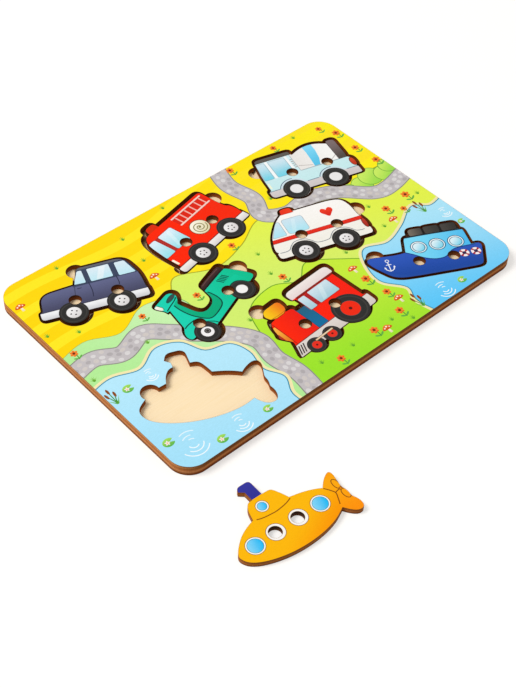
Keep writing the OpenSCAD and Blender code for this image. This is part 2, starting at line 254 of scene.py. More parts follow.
SEATED = [n for n in frame["nodes"] if n not in ("base_board", "frame_board", "submarine")]
LOOSE_HOLES = [m["pos_m"][:2] for m in frame["record"]["mounts"]
               if m["name"].startswith("submarine_hole")]
# The tray, the seated pieces with their sides painted darker as shade, and the loose piece.
for name, nodes, foot, bands, rim_sides, holes in (
        ("laser_cut_birch_plywood", ("base_board", "frame_board"), BOARD, WALL_BANDS_PAINTED_SHADE,
         (LONG_RIM, SHORT_RIM_PAINTED_LIGHT), ()),
        ("laser_cut_birch_plywood_seated_painted_shade", SEATED, BOARD, SIDE_BANDS_PAINTED_SHADE, (), ()),
        ("laser_cut_birch_plywood_loose", ("submarine",), 0.0, LOOSE_BANDS, (), LOOSE_HOLES)):
    plywood = laser_cut_plywood(name, foot, bands, rim_sides, holes)
    for node in nodes:
        frame["nodes"][node].data.materials[0] = plywood
ink_on_birch = inked_wood("uv_ink_on_birch")
# The material of the painted shade in the gaps round the seated pieces.
painted_shade_birch = inked_wood("painted_shade_birch")

# ---------------------------------------------------------------- outlines, in millimetres

MOST_OF_SIDE = 0.45    # share of a side that the rounding of a corner takes at most
SHARPEST = 0.8         # keeps a point from moving far off where two sides meet sharply
AT_ONCE = 4_000_000    # pairs of a spot and a side that are worked out in one block


def disc(centre, radius, tall=None, turn=0.0, points=36):
    """A circle, or an ellipse radius wide and tall high, turned by turn degrees: the points
    (radius cos a, tall sin a) at even steps of a."""
    a = np.arange(points) * 2 * np.pi / points
    flat = np.stack([radius * np.cos(a), (tall or radius) * np.sin(a)], 1)
    return [flat @ turned(turn).T + centre]


def turned(degrees):
    """The matrix that turns points anticlockwise by degrees."""
    c, s = math.cos(math.radians(degrees)), math.sin(math.radians(degrees))
    return np.array([[c, -s], [s, c]])


def curve(points, closed=False, steps=7):
    """A smooth curve through the points: between b and c, with a before and d after, it is
    half of 2b + (c - a)t + (2a - 5b + 4c - d)t^2 + (3b - a - 3c + d)t^3."""
    p = np.asarray(points, float)
    if closed:
        q = np.concatenate([p[-1:], p, p[:2]])
    else:
        q = np.concatenate([2 * p[:1] - p[1:2], p, 2 * p[-1:] - p[-2:-1]])
    a, b, c, d = (q[i : len(q) - 3 + i, None] for i in range(4))
    t = (np.arange(steps) / steps)[None, :, None]
    run = (2 * b + (c - a) * t + (2 * a - 5 * b + 4 * c - d) * t**2
           + (3 * b - a - 3 * c + d) * t**3) / 2
    run = run.reshape(-1, 2)
    return run if closed else np.concatenate([run, p[-1:]])


def rounded(points, radius, steps=5):
    """A closed outline with its corners rounded: each corner b between a and c becomes the
    parabola from radius before b to radius after it, (1-t)^2 s + 2t(1-t) b + t^2 e."""
    b = np.asarray(points, float)
    before, after = np.roll(b, 1, 0) - b, np.roll(b, -1, 0) - b
    s, e = (b + np.minimum(radius, np.linalg.norm(v, axis=1) * MOST_OF_SIDE)[:, None]
            * v / np.linalg.norm(v, axis=1)[:, None] for v in (before, after))
    b, s, e = b[:, None], s[:, None], e[:, None]
    t = np.linspace(0, 1, steps)[None, :, None]
    return ((1 - t) ** 2 * s + 2 * t * (1 - t) * b + t**2 * e).reshape(-1, 2)


def band(path, width, closed=False):
    """A stroke along a path: at each point the left and right sides are half of width away
    across the path, and each pair of neighbours makes two triangles. A closed path's last
    point joins its first."""
    p = np.asarray(path, float)
    ahead = np.roll(p, -1, 0) - np.roll(p, 1, 0) if closed else np.gradient(p, axis=0)
    ahead /= np.linalg.norm(ahead, axis=1)[:, None]
    across = ahead @ turned(90).T * width / 2
    left, right = p + across, p - across
    if closed:
        left, right = (np.concatenate([side, side[:1]]) for side in (left, right))
    return list(np.concatenate([np.stack([right[:-1], right[1:], left[1:]], 1),
                                np.stack([right[:-1], left[1:], left[:-1]], 1)]))


def ring(centre, outer, inner, start=0.0, end=360.0, points=36):
    """A round band between two radii, from start to end degrees: a stroke along the points
    m (cos a, sin a), with m halfway between the radii."""
    a = np.radians(np.linspace(start, end, points + 1))
    middle = (outer + inner) / 2
    path = np.stack([np.cos(a), np.sin(a)], 1) * middle + centre
    whole = end - start >= 360
    return band(path[:-1] if whole else path, outer - inner, closed=whole)


def oblong(left, right, bottom, top):
    """An upright oblong's corners, anticlockwise from the lower left."""
    return (left, bottom), (right, bottom), (right, top), (left, top)


def anticlockwise(outline):
    """The outline, turned round if the area that it goes round comes out below zero."""
    x, y = outline.T
    return outline if x @ np.roll(y, -1) > y @ np.roll(x, -1) else outline[::-1]


# ---------------------------------------------------------------- the printed tops

# Sizes in millimetres.
INK_PROUD, INK_SUNK = 0.03, 0.02     # the film above and below the board's top
SHADE_FIRST, SHADE_STEP = 1.0, 4.0   # first point for the inks' blends, and the step to the next
HAIR = 0.001                         # heights within this are the same face
TOUCHING = 1e-4                      # points nearer than this are one to the triangulation
# Width and colour of the dark edge of each print: laser burn on the tray and the loose
# submarine; on the seated pieces darker and wider, laser burn and painted shade of the gap.
EDGE_BURN_AND_SHADE = {"frame_board": (0.12, "#8A6838"), "submarine": (0.14, "#9A6420"),
          "piece": (0.26, "#321C10")}
# Painted shade on the base board's floor in the narrow gaps round the seated pieces:
NARROW_GAP, WIDE_GAP = 3.4, 4.6      # a gap so narrow still has the full painted shade, and one so wide has none
GAP_SHADE_REACH = 3.4                     # the greatest width of the strip of painted shade
GAP_SHADE_SHORT = 0.12                    # how far it ends off the piece
GAP_SHADE_STEP = 1.0                      # its points along the wall are at most so far apart
GAP_SHADE_PALING = 0.15                   # how much paler it is at the piece than at the wall
# Colour of the painted shade at the wall, and of the bare wood that it pales to.
GAP_SHADE, UNSHADED_WOOD = "#54300F", "#ECCF9E"
UNDER, OVER = -0.2, 1.2   # shares of a board's length or height that lie past its ends
TYRE, TYRE_BAND, BOLT, HUB = "#2E2D2C", "#3D3B39", "#4A4644", "#F2F0F0"
BOLT_CIRCLE, BOLT_RADIUS = 2.3, 0.62


class Print:
    """The print on one board: figures in painting order. A figure is a set of closed outlines
    with two inks, which blend along one direction of the board."""

    def __init__(self, node, size, corner=(0, 0), tilt=0.0):
        self.node, self.size, self.corner = node, np.array(size, float), np.array(corner)
        self.turn = turned(tilt)
        self.figures, self.shades = [], []

    def mm(self, shares):
        """Shares of the board's length and height, in millimetres."""
        return np.asarray(shares, float) * self.size

    def paint(self, outlines, low, high=None, heading=90.0, span=None):
        """Adds a figure: low to high runs along heading, in degrees from the length, over the
        figure itself or over span, two distances from the board's corner."""
        way = turned(heading) @ (1, 0)
        if span is None:
            along = np.concatenate(outlines) @ way
            span = along.min(), along.max()
        run = span[1] - span[0]
        way = self.turn @ way
        self.shades.append((*(way / run), (self.corner @ way + span[0]) / run,
                            *linear(low), *linear(high or low)))
        self.figures.append([anticlockwise(o) @ self.turn.T + self.corner for o in outlines])

    def area(self, shares, low, high=None, soft=0.0, smooth=False, **shade):
        """A filled outline through shares: straight, rounded at the corners or smooth."""
        points = self.mm(shares)
        points = curve(points, closed=True) if smooth else rounded(points, soft) if soft else points
        self.paint([points], low, high, **shade)

    def box(self, left, right, bottom, top, low, high=None, soft=0.0, **shade):
        """A filled oblong, its corners rounded by soft."""
        self.area(oblong(left, right, bottom, top), low, high, soft, **shade)

    def across(self, bottom, top, low, high=None, **shade):
        """A band right across the board between two heights."""
        self.box(UNDER, OVER, bottom, top, low, high, **shade)

    def line(self, shares, width, ink, smooth=True, closed=False):
        """A stroke through shares, smooth or straight from each to the next."""
        points = self.mm(shares)
        self.paint(band(curve(points, closed) if smooth else points, width, closed), ink)

    def dot(self, centre, radius, low, high=None, tall=None, turn=0.0, **shade):
        """A disc, or an ellipse where tall is given."""
        self.paint(disc(self.mm(centre), radius, tall, turn), low, high, **shade)

    def hoop(self, centre, outer, inner, ink, **sweep):
        """A ring between two radii, or the part of it that sweep gives."""
        self.paint(ring(self.mm(centre), outer, inner, **sweep), ink)


def top_face(node):
    """The upward triangles of a CAD board: their corners' places in millimetres, each place
    once, and the height of the face."""
    mesh = frame["nodes"][node].data
    co = np.empty(len(mesh.vertices) * 3, np.float32)
    mesh.vertices.foreach_get("co", co)
    tri = np.empty(len(mesh.polygons) * 3, np.int32)
    mesh.polygons.foreach_get("vertices", tri)
    corners = co.reshape(-1, 3)[tri.reshape(-1, 3)] / MM
    top = corners[:, :, 2].max()
    corners = corners[(corners[:, :, 2] > top - HAIR).all(1)]
    spots, where = np.unique(np.round(corners[:, :, :2].reshape(-1, 2), 3), axis=0,
                             return_inverse=True)
    return spots.astype(float), where.reshape(-1, 3), float(top)


def open_sides(tri):
    """The directed sides that only one triangle has; the triangle is on their left."""
    sides = np.concatenate([tri[:, [0, 1]], tri[:, [1, 2]], tri[:, [2, 0]]]).astype(np.int64)
    many = int(tri.max()) + 1
    key, back = sides[:, 0] * many + sides[:, 1], sides[:, 1] * many + sides[:, 0]
    return sides[~np.isin(key, back)]


def inner_edge(spots, sides, width):
    """Each edge point moved in by width: with n the sum of the two unit normals at it, by
    2 width n / |n|^2, which keeps the band's width round a corner."""
    run = spots[sides[:, 1]] - spots[sides[:, 0]]
    left = run @ turned(90).T / np.linalg.norm(run, axis=1)[:, None]
    total = np.zeros_like(spots)
    np.add.at(total, sides[:, 0], left)
    np.add.at(total, sides[:, 1], left)
    return spots + 2 * width * total / np.maximum((total**2).sum(1), SHARPEST)[:, None]


def inside(spots, a, b):
    """Which spots lie inside the closed outlines with sides a to b. An outline winds round a
    spot once more for each side that rises past it on its right than for each that falls."""
    found = []
    for block in np.array_split(spots, 1 + len(spots) * len(a) // AT_ONCE):
        x, y = block[:, None, 0], block[:, None, 1]
        left = (b - a)[:, 0] * (y - a[:, 1]) - (b - a)[:, 1] * (x - a[:, 0])
        rises = (a[:, 1] <= y) & (b[:, 1] > y) & (left > 0)
        falls = (a[:, 1] > y) & (b[:, 1] <= y) & (left < 0)
        found.append(rises.sum(1) > falls.sum(1))
    return np.concatenate(found)


def film(name, spots, tri, top, inks, edge_ink, coat, body):
    """A closed film on a board whose top is at height top: the triangles of spots, the same
    turned over beneath them, and a wall of edge_ink along every open side. inks has one
    colour for each corner of each triangle, and coat is the film's material. It rides on body."""
    edge = open_sides(tri)
    count = len(spots)
    a, b = edge.T
    walls = np.concatenate([np.stack([a, a + count, b + count], 1),
                            np.stack([a, b + count, b], 1)])
    shell = np.concatenate([tri, tri[:, ::-1] + count, walls])
    heights = np.repeat([top + INK_PROUD, top - INK_SUNK], count)
    mesh = bpy.data.meshes.new(name)
    mesh.from_pydata(np.column_stack([np.tile(spots, (2, 1)), heights]) * MM, [], shell.tolist())
    rims = np.broadcast_to(edge_ink, (len(walls), 3, 3))
    colours = np.concatenate([inks, inks[:, ::-1], rims]).reshape(-1, 3)
    colours = np.column_stack([colours, np.ones(len(colours))]).astype(np.float32)
    mesh.attributes.new("ink", "FLOAT_COLOR", "CORNER").data.foreach_set("color", colours.ravel())
    mesh.materials.append(coat)
    piece = placed(name, mesh)
    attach(piece, body)


def joined(spots, tri):
    """The same triangles with spots that agree to a thousandth of a millimetre made one, and
    without the triangles that shrink to a line by it."""
    _, first, same = np.unique(np.round(spots, 3), axis=0, return_index=True, return_inverse=True)
    tri = same.reshape(-1)[tri]
    return spots[first], tri[(tri != np.roll(tri, 1, 1)).all(1)]


def print_film(art, body):
    """Makes the print as a closed film 0.05 mm thick on the board's top. All outlines are cut
    into one triangulation of the top face; each triangle takes the last figure painted over
    its middle, and each of its corners that figure's ink there, low + (high - low) s, where s
    rises smoothly from 0 to 1 along the figure's heading."""
    spots, base, top = top_face(art.node)
    sides = open_sides(base)
    # The print's dark edge: laser burn, and on the seated pieces painted shade of the gap too.
    width, edge_burn_and_shade = EDGE_BURN_AND_SHADE.get(art.node, EDGE_BURN_AND_SHADE["piece"])
    inner = inner_edge(spots, sides, width)
    board, inside_dark_edge = (whole[sides].transpose(1, 0, 2) for whole in (spots, inner))
    grid = (np.arange(low + SHADE_FIRST, high, SHADE_STEP)
            for low, high in zip(spots.min(0), spots.max(0)))
    grid = np.stack(np.meshgrid(*grid), -1)
    loops = [o for figure in art.figures for o in figure]
    points = np.concatenate([spots, inner, grid.reshape(-1, 2), *loops])
    ends = np.cumsum([len(o) for o in loops]) + len(points) - sum(len(o) for o in loops)
    rounds = [np.stack([np.arange(e - len(o), e), np.roll(np.arange(e - len(o), e), -1)], 1)
              for e, o in zip(ends, loops)]
    edges = np.concatenate([sides, sides + len(spots), *rounds])
    spots, _, tri, *_ = delaunay_2d_cdt(points.tolist(), edges.tolist(), [], 0, TOUCHING, False)
    spots, tri = joined(np.array(spots, float), np.array(tri))
    middles = spots[tri].mean(1)
    keep = inside(middles, *board)
    tri, middles = tri[keep], middles[keep]
    figure = np.zeros(len(tri), int)
    for index, outlines in enumerate(art.figures):
        a = np.concatenate(outlines)
        b = np.concatenate([np.roll(o, -1, 0) for o in outlines])
        near = np.flatnonzero(((middles > a.min(0)) & (middles < a.max(0))).all(1))
        figure[near[inside(middles[near], a, b)]] = index
    # Triangles in the print's dark edge take its colour: laser burn, and on the seated pieces
    # painted shade too.
    figure[~inside(middles, *inside_dark_edge)] = len(art.shades)
    art.shades.append((0, 0, 0, *linear(edge_burn_and_shade), *linear(edge_burn_and_shade)))
    used, tri = np.unique(tri, return_inverse=True)
    tri, spots = tri.reshape(-1, 3), spots[used]

    of_face = np.array(art.shades)[figure][:, None]
    share = np.clip((spots[tri] * of_face[:, :, :2]).sum(2) - of_face[:, :, 2], 0, 1)
    share = (share * share * (3 - 2 * share))[:, :, None]
    inks = of_face[:, :, 3:6] + (of_face[:, :, 6:] - of_face[:, :, 3:6]) * share
    film(art.node + "_print", spots, tri, top, inks, linear(edge_burn_and_shade), ink_on_birch, body)


def nearest(spots, a, b):
    """How far each spot is from the segments a to b: from the nearest of their points
    a + t (b - a), where t is the spot's projection on the segment, kept within 0 to 1."""
    run = b - a
    found = []
    for block in np.array_split(spots, 1 + len(spots) * len(a) // AT_ONCE):
        t = np.clip(((block[:, None] - a) * run).sum(2) / (run**2).sum(1), 0, 1)
        found.append(np.linalg.norm(block[:, None] - a - t[:, :, None] * run, axis=2).min(1))
    return np.concatenate(found)


def stepped(spots, sides):
    """The closed outlines that sides make, with each side cut into equal parts no longer than
    the step along the wall of the painted gap shade: point i of a side cut into n parts is
    a + (b - a) i / n. Gives the points and the new sides, from each point to the next one round
    its outline."""
    a, b = spots[sides].transpose(1, 0, 2)
    parts = np.ceil(np.linalg.norm(b - a, axis=1) / GAP_SHADE_STEP).astype(int)
    begins = np.cumsum(parts) - parts
    whose = np.repeat(np.arange(len(sides)), parts)
    share = (np.arange(len(whose)) - begins[whose]) / parts[whose]
    first = np.zeros(len(spots), int)
    first[sides[:, 0]] = begins
    after = np.arange(len(whose)) + 1
    after[begins + parts - 1] = first[sides[:, 1]]
    points = a[whose] + (b - a)[whose] * share[:, None]
    return points, np.stack([np.arange(len(whose)), after], 1)


def painted_gap_shade():
    """Painted shade on the base board, brown in the narrow gap between a recess's wall and its
    piece, where little light reaches the floor: a strip from the wall's points w to w + r n,
    with n the way off the wall and r the lesser of the strip's greatest reach and the distance
    to the nearest piece less a short margin. It is dark where the gap is narrow and pales as
    the gap opens."""
    spots, base, _ = top_face("frame_board")
    wall, sides = stepped(spots, open_sides(base))
    pieces = (top_face(node) for node in SEATED)
    ends = np.concatenate([places[open_sides(faces)] for places, faces, _ in pieces])
    gap = nearest(wall, ends[:, 0], ends[:, 1])
    step = inner_edge(wall, sides, -1.0) - wall
    step /= np.maximum(np.linalg.norm(step, axis=1), 1)[:, None]
    moved = wall + np.minimum(GAP_SHADE_REACH, gap - GAP_SHADE_SHORT)[:, None] * step
    opening = np.clip((gap - NARROW_GAP) / (WIDE_GAP - NARROW_GAP), 0, 1)[:, None]
    share = np.concatenate([opening, GAP_SHADE_PALING + (1 - GAP_SHADE_PALING) * opening])
    a, b = sides[(gap[sides] < WIDE_GAP).all(1)].T
    count = len(wall)
    tri = np.concatenate([np.stack([b, a, a + count], 1), np.stack([b, a + count, b + count], 1)])
    used, tri = np.unique(tri, return_inverse=True)
    tri = tri.reshape(-1, 3)
    # The painted gap shade: dark at the wall, paling towards the bare wood as the gap opens.
    gap_shade_ink, bare = linear(GAP_SHADE), linear(UNSHADED_WOOD)
    inks = (gap_shade_ink + (bare - gap_shade_ink) * share)[used][tri]
    film("base_board_painted_shade", np.concatenate([wall, moved])[used], tri, BOARD / MM, inks, gap_shade_ink,
         painted_shade_birch, "tray")


def wheel(art, centre, tyre, hub, face=HUB, bolts=0, bolt_ink=BOLT):
    """A tyre with a worn band on it, a hub in a dark line, and its bolts on a circle. A white
    hub is a little grey on one side."""
    art.dot(centre, tyre, TYRE)
    art.hoop(centre, tyre * 0.88, tyre * 0.8, TYRE_BAND)
    art.dot(centre, hub + 0.5, BOLT)
    art.dot(centre, hub, "#DAD6D6" if face == HUB else face, face, heading=130)
    a = np.radians(np.arange(bolts) * 360 / max(bolts, 1) + 20)
    for x, y in zip(np.cos(a), np.sin(a)):
        at = art.mm(centre) + (BOLT_CIRCLE * x, BOLT_CIRCLE * y)
        art.paint(disc(at, BOLT_RADIUS, points=10), bolt_ink)


def window(art, shares, low, high, frame_ink, soft=1.2, edge=0.5):
    """A pane with a painted frame edge wide, its corners rounded by soft."""
    art.line(rounded(art.mm(shares), soft) / art.size, edge * 2, frame_ink, smooth=False,
             closed=True)
    art.area(shares, low, high, soft)


def car_print():
    """A dark blue car with three panes, two doors and a pale sill."""
    art = Print("car", (75, 50), (-143.82, 49.79), -20)
    art.across(UNDER, OVER, "#44445E", "#62668A", span=(12, 36))
    art.across(0.95, OVER, "#62646C")
    art.box(0.37, 0.98, 0.655, 0.955, "#3C465E")
    for shares in (((0.386, 0.70), (0.497, 0.69), (0.498, 0.936), (0.457, 0.936)),
                   oblong(0.546, 0.752, 0.686, 0.936),
                   ((0.805, 0.67), (0.962, 0.67), (0.90, 0.93), (0.805, 0.93))):
        window(art, shares, "#C2E8F3", "#DAEAF3", "#333C54", soft=1.0)
    art.area(((0.60, 0.70), (0.66, 0.70), (0.72, 0.92), (0.66, 0.92)), "#DCEEF4", "#E8F2F8")
    art.line(((0.519, 0.69), (0.522, 0.52), (0.51, 0.40)), 0.7, "#30324A")
    art.line(((0.776, 0.69), (0.778, 0.55), (0.77, 0.50)), 0.7, "#30324A")
    art.line(((0.385, 0.66), (0.37, 0.56), (0.36, 0.48)), 0.6, "#44465E")
    art.line(((0.40, 0.612), (0.44, 0.612)), 0.7, "#34344A")
    art.across(UNDER, 0.33, "#34344A")
    art.across(UNDER, 0.315, "#CFCFD3", "#F0F0F2", span=(9, 15))
    for u in (0.29, 0.73):
        wheel(art, (u, 0.2), 10, 5, bolts=4, bolt_ink="#282424")
    return art


def fire_engine_print():
    """A red fire engine with a ladder and a hose reel, whose spiral's radius grows
    evenly with its angle."""
    art = Print("fire_engine", (75, 57), (-38.25, 25.78), 13)
    art.across(UNDER, OVER, "#FC2804", "#F62A0A", heading=20, span=(45, 80))
    art.box(0.17, 0.36, 0.90, OVER, "#DA300C", "#D02A0C")
    art.box(0.15, 0.24, 0.461, 0.787, "#B2302A")
    for shares in (((0.046, 0.461), (0.176, 0.461), (0.171, 0.787), (0.081, 0.787)),
                   oblong(0.219, 0.40, 0.461, 0.787)):
        window(art, shares, "#9AE1EB", "#DCEEFA", "#A82418", soft=1.4)
    art.area(((0.25, 0.49), (0.29, 0.49), (0.36, 0.76), (0.32, 0.76)), "#BCEBF2", "#E6F4FB")
    art.box(0.486, 0.933, 0.69, 0.85, "#DE2612")
    for u in (0.533, 0.60, 0.671, 0.743, 0.819, 0.89):
        art.box(u - 0.0075, u + 0.0075, 0.70, 0.85, "#F6B4A8")
    for v in (0.682, 0.839):
        art.box(0.486, 0.933, v - 0.006, v + 0.024, "#9E1A14", soft=0.8)
        art.box(0.486, 0.933, v, v + 0.024, "#F6C6BA", "#FAD8CE", soft=0.7)
    reel = (0.575, 0.493)
    art.dot(reel, 7.8, "#8A3A1E")
    art.dot(reel, 7.1, "#E6DCB4", "#FAF5E2", heading=120)
    a = np.linspace(0, 4 * np.pi, 64)
    spiral = np.stack([np.cos(a), np.sin(a)], 1) * (1.0 + 4.9 * a[:, None] / a[-1])
    art.paint(band(spiral + art.mm(reel), 0.75), "#8C8452")
    art.dot(reel, 1.0, "#8C8452")
    art.box(0.046, 0.071, 0.286, 0.396, "#F6EAC8", "#FFF8E4", soft=0.8)
    art.across(UNDER, 0.25, "#8E1C14")
    art.across(UNDER, 0.236, "#D6D0CE", "#F2EEEA", span=(7, 13))
    for u in (0.312, 0.745):
        wheel(art, (u, 0.18), 10.4, 5.1, bolts=5)
    return art


def mixer_truck_print():
    """A pale blue truck with a striped mixing drum."""
    art = Print("mixer_truck", (75, 51), (55.70, 44.79), -15)
    art.across(UNDER, OVER, "#C8ECEE", "#D4EEF4", span=(14, 45))
    art.box(0.44, 0.865, 0.53, OVER, "#ECE8E4", "#FAF8F4", heading=0)
    art.area(((0.595, 0.52), (0.655, 0.52), (0.695, 0.68), (0.713, 0.86), (0.713, 1.1),
              (0.605, 1.1), (0.612, 0.86), (0.605, 0.68)), "#58C4EA", "#88DEFC")
    art.line(((0.45, 0.64), (0.52, 0.605), (0.59, 0.57)), 0.6, "#B4ACA8")
    art.line(((0.865, 0.64), (0.83, 0.60), (0.80, 0.57)), 0.6, "#B4ACA8")
    art.line(((0.44, 0.53), (0.865, 0.53)), 0.8, "#A8B4B8", smooth=False)
    art.line(((0.437, 0.53), (0.437, 0.93)), 0.6, "#B4BCC0", smooth=False)
    for v in (0.63, 0.675, 0.72, 0.765, 0.81):
        art.line(((0.41, v), (0.432, v)), 0.9, "#A89C94", smooth=False)
    art.box(0.867, OVER, 0.524, OVER, "#4E4640", "#7C6C6C", span=(26, 48))
    art.line(((0.867, 0.524), (0.867, 0.98)), 0.6, "#5C5454", smooth=False)
    art.box(UNDER, 0.462, 0.923, OVER, "#5C5650", "#706A66")
    art.line(((0.06, 0.923), (0.462, 0.923)), 0.5, "#48423E", smooth=False)
    for shares in (((0.045, 0.53), (0.145, 0.53), (0.148, 0.895), (0.062, 0.895)),
                   oblong(0.192, 0.368, 0.53, 0.895)):
        window(art, shares, "#78D4E8", "#D0E6F0", "#8CA8B4", soft=1.2, edge=0.4)
    for u in (0.17, 0.387):
        art.box(u - 0.014, u + 0.014, 0.52, 0.915, "#F8FAFA", soft=0.8)
    art.box(0.04, 0.06, 0.34, 0.46, "#F2F6D8", soft=0.7)
    for u in (0.272, 0.705):
        art.dot((u, 0.2), 11.6, "#D2E4EC")
        art.hoop((u, 0.2), 12.0, 11.35, "#566E84", start=80, end=158, points=20)
    art.across(UNDER, 0.285, "#CEC6C6", "#D6CECE", span=(7, 14))
    for left, right in ((-0.1, 0.125), (0.425, 0.55), (0.86, 1.1)):
        art.line(((left, 0.285), (right, 0.285)), 0.7, "#6C8498", smooth=False)
    art.dot((0.975, 0.40), 2.5, "#7A1E14", tall=5.0)
    art.dot((0.975, 0.40), 1.9, "#BE3418", "#D8482A", tall=4.3)
    for u in (0.272, 0.705):
        wheel(art, (u, 0.2), 10, 4.8, "#ECEAEA")
    return art


def ambulance_print():
    """A white van with a red stripe, a lamp and a small plain heart."""
    art = Print("ambulance", (73, 55), (16.39, -6.45), -17)
    art.across(UNDER, OVER, "#F3F0E6", "#FCF8F4", span=(5, 50))
    art.box(0.25, 0.40, 0.895, OVER, "#C01E14")
    art.box(0.262, 0.39, 0.905, OVER, "#E8301C", "#F04020", heading=0)
    for shares, soft in ((((0.054, 0.525), (0.198, 0.525), (0.198, 0.786), (0.16, 0.786)), 1.0),
                         (oblong(0.23, 0.445, 0.526, 0.805), 2.2)):
        window(art, shares, "#B0E6F4", "#CFE6F2", "#9AA4AC", soft=soft, edge=0.35)
    art.area(((0.27, 0.55), (0.31, 0.55), (0.37, 0.78), (0.33, 0.78)), "#C0EAF4", "#D8EDF6")
    art.across(0.423, 0.497, "#B8241C")
    art.across(0.432, 0.488, "#DC2A1A", "#EC3020")
    heart = curve(((0, -4.6), (2.6, -2.0), (4.7, 0.8), (4.4, 3.4), (2.4, 4.4), (0.5, 3.2), (0, 2.4),
                   (-0.5, 3.2), (-2.4, 4.4), (-4.4, 3.4), (-4.7, 0.8), (-2.6, -2.0)),
                  closed=True)
    art.paint([heart + art.mm((0.705, 0.725))], "#D82418", "#F03C22")
    arch = ((-0.185, 0.245), (-0.14, 0.262), (-0.105, 0.32), (-0.06, 0.37), (0, 0.385),
            (0.06, 0.37), (0.105, 0.32), (0.14, 0.262), (0.185, 0.245))
    sill = [(u + du, v) for u in (0.275, 0.705) for du, v in arch]
    art.line([(0.03, 0.25), *sill, (0.93, 0.245)], 0.6, "#747C86")
    art.dot((0.978, 0.353), 2.1, "#6E1812", tall=5.4)
    art.dot((0.978, 0.353), 1.5, "#A82C20", "#BC3A2C", tall=4.7)
    for u in (0.275, 0.705):
        wheel(art, (u, 0.175), 10.2, 4.9, bolts=5)
    return art


def scooter_print():
    """A green motor scooter with a brown seat."""
    art = Print("scooter", (75, 51), (-72.51, -31.11), 19)
    art.across(UNDER, OVER, "#0CC090", "#1CD2B2", heading=150, span=(-60, 10))
    shield = curve(art.mm((
        (0.281, 0.797), (0.262, 0.678), (0.257, 0.538), (0.267, 0.44), (0.295, 0.314),
        (0.333, 0.258), (0.41, 0.246), (0.505, 0.265), (0.552, 0.314), (0.576, 0.398),
        (0.583, 0.496), (0.581, 0.552))))
    above = art.mm(((0.50, 0.8), (0.33, 0.82)))
    art.paint([np.concatenate([shield, above])], "#08A878", "#0CB488")
    art.paint(band(shield, 0.95), "#07463C")
    art.line(((0.19, 0.815), (0.26, 0.83), (0.33, 0.84), (0.38, 0.86)), 0.9, "#07463C")
    art.line(((0.088, 0.452), (0.13, 0.455), (0.18, 0.445), (0.225, 0.43)), 0.9, "#07463C")
    art.line(((0.20, 0.36), (0.255, 0.30), (0.30, 0.20), (0.31, 0.14)), 0.8, "#07564A")
    art.dot((0.34, 0.905), 5.0, "#23564E", tall=1.9, turn=4)
    art.dot((0.35, 0.905), 3.4, "#3C4A4C", tall=1.0, turn=4)
    art.area(((0.145, 0.985), (0.155, 0.90), (0.19, 0.862), (0.207, 0.90), (0.196, 0.985)),
             "#F0EAD2", "#FCF8EC")
    art.line(((0.196, 0.99), (0.207, 0.90), (0.19, 0.862)), 0.6, "#2A7464", smooth=False)
    art.box(0.55, 0.96, 0.594, 1.0, "#2C1C1C", "#4A3030", span=(30, 36))
    art.line(((0.575, 0.60), (0.74, 0.612), (0.91, 0.598)), 0.8, "#150E0E")
    art.line(((0.62, 0.665), (0.75, 0.672), (0.88, 0.665)), 0.5, "#6A4844")
    for u in np.linspace(0.757, 0.843, 5):
        art.line(((u + 0.006, 0.455), (u - 0.014, 0.560)), 0.85, "#085044", smooth=False)
    art.area(((0.93, 0.58), (0.955, 0.45), (0.985, 0.30), (0.992, 0.17), (1.1, 0.17), (1.1, 0.58)),
             "#0A9874", "#0CB084")
    art.dot((0.773, 0.168), 9.4, TYRE)
    for centre, hub in (((0.162, 0.18), 4.4), ((0.773, 0.19), 4.0)):
        wheel(art, centre, 9, hub, "#F4F2F2")
    fender = curve(art.mm(((0.69, 0.352), (0.73, 0.352), (0.785, 0.356), (0.83, 0.335),
                           (0.866, 0.27), (0.884, 0.185))))
    above = art.mm(((0.93, 0.185), (0.90, 0.42), (0.69, 0.42)))
    art.paint([np.concatenate([fender, above])], "#0CC090", "#10C89C")
    art.paint(band(fender, 0.8), "#07463C")
    art.dot((0.17, 0.188), 2.3, "#34302E")
    art.hoop((0.17, 0.188), 1.5, 1.1, "#8E8A88")
    return art


